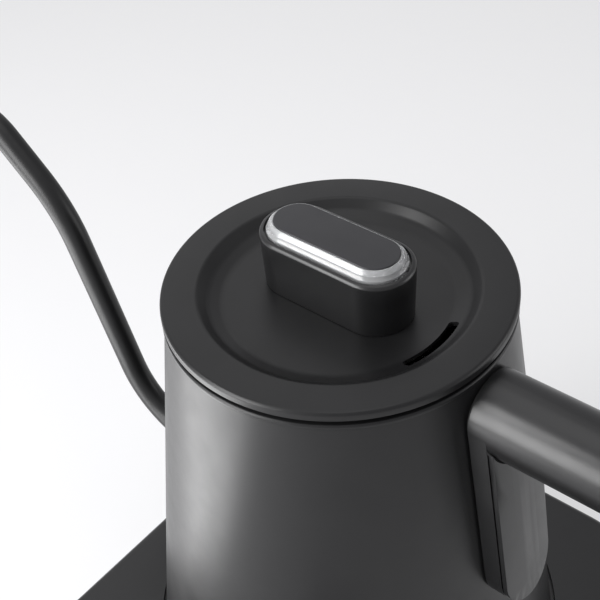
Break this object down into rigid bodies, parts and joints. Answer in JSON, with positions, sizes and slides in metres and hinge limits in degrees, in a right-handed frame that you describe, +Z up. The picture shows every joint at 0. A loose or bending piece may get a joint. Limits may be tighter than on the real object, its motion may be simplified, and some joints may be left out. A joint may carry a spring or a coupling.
{
  "type": "electric gooseneck kettle",
  "caption": "Matte black cone-shaped electric gooseneck kettle with a slim curved spout, side handle, lift-off lid with a clear-ringed knob, on a power base with a dial and display.",
  "frame": {"origin": "on the kettle's axis, on the table that the power base's feet stand on", "axes": "+X along the handle, -X along the spout, -Y to the controls, +Z up"},
  "size_m": [0.2786, 0.1798, 0.171],
  "materials": {
    "black_coat": "fine matte powder coat",
    "black_plastic": "satin moulded",
    "cap_plastic": "matte",
    "clear_plastic": "polished clear",
    "steel": "brushed",
    "fastener_steel": "plain",
    "soft_black": "matte",
    "soft_grey": "satin",
    "contact_brass": "plain",
    "connector_plastic": "matte",
    "switch_metal": "plain",
    "encoder_plastic": "matte",
    "board": "coated",
    "display": "gloss",
    "dark_glass": "polished dark"
  },
  "bodies": {
    "base": {"base_top": "black_plastic", "base_bottom": "black_plastic", "base_screws": "fastener_steel", "base_connector_screws": "fastener_steel", "base_feet": "soft_black", "base_ring": "contact_brass", "base_socket": "contact_brass", "base_connector": "connector_plastic", "cord_gland": "soft_black", "control_board": "board", "display_module": "display", "display_window": "dark_glass", "encoder_body": "encoder_plastic"},
    "kettle": {"body_shell": "black_coat", "spout_tube": "black_coat", "spout_collar": "black_coat", "handle_shell": "black_plastic", "handle_panel": "black_plastic", "handle_end_cap": "black_plastic", "bottom_cover": "black_plastic", "heater_plate": "steel", "heating_element": "steel", "handle_bracket": "steel", "floor_studs": "steel", "temperature_probe": "steel", "handle_screws": "fastener_steel", "cover_screws": "fastener_steel", "connector_screws": "fastener_steel", "handle_pad": "soft_black", "cover_seal": "soft_black", "kettle_pin": "contact_brass", "kettle_ring": "contact_brass", "kettle_connector": "connector_plastic", "thermal_cutout": "switch_metal"},
    "lid": {"lid_cover": "black_coat", "lid_pan": "steel", "lid_gasket": "soft_grey", "knob_base": "black_plastic", "knob_ring": "clear_plastic", "knob_cap": "cap_plastic", "knob_screws": "fastener_steel"},
    "rotor": {"encoder_rotor": "switch_metal"},
    "dial": {"dial_shaft": "steel", "dial_knob": "black_plastic"}
  },
  "joints": [
    {"name": "kettle_lift", "type": "slide", "parent": "base", "child": "kettle", "axis": [0, 0, 1], "range_m": [0, 0.1]},
    {"name": "lid_lift", "type": "slide", "parent": "kettle", "child": "lid", "axis": [0, 0, 1], "range_m": [0, 0.06]},
    {"name": "dial_turn", "type": "hinge", "parent": "base", "child": "rotor", "pos_m": [0.04, -0.084, 0.03], "axis": [0, 0, 1], "continuous": true},
    {"name": "dial_push", "type": "slide", "parent": "rotor", "child": "dial", "axis": [0, 0, -1], "range_m": [0, 0.0012], "stiffness_N_per_m": 1500, "springref_m": -0.0004}
  ]
}
